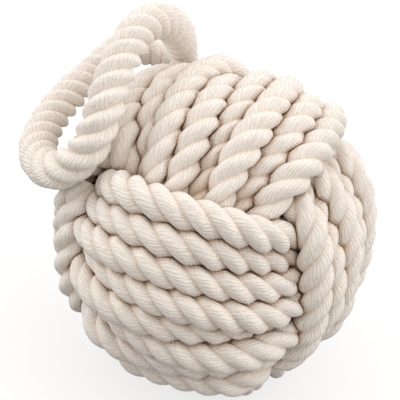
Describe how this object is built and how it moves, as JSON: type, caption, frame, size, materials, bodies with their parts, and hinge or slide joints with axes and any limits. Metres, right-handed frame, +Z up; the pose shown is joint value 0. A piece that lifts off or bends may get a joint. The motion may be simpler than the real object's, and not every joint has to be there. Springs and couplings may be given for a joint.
{
  "type": "rope knot doorstop",
  "caption": "Doorstop of laid cotton rope tied as a monkey's fist round a bag of sand, with a rope loop to carry it by.",
  "frame": {"origin": "the middle of the pressed flat of the lowest row nearest the ball's middle, in the plane of the flats that the ball rests on; the ball's middle is 2 mm right, 7 mm in front and 75 mm above it", "axes": "+Z up; -Y the face whose eight rows run level and are turned to the viewer; +X right, the loop lies on the -X side"},
  "size_m": [0.1694, 0.154, 0.1733],
  "materials": {
    "rope": "undyed three-strand cotton, matt and slightly hairy",
    "bag": "unbleached canvas",
    "sand": "dry sand",
    "tie": "jute twine"
  },
  "bodies": {
    "ball": {"first_turns": "rope", "second_turns": "rope", "third_turns": "rope", "tucked_end": "rope", "core_bag": "bag", "sand_fill": "sand", "bag_tie": "tie"},
    "handle": {"handle_loop": "rope"}
  },
  "joints": [
    {"name": "handle_lift", "type": "hinge", "parent": "ball", "child": "handle", "pos_m": [-0.04089, 0.04267, 0.13648], "axis": [-0.5628, 0.4422, -0.6984], "range_deg": [0, 50]}
  ]
}
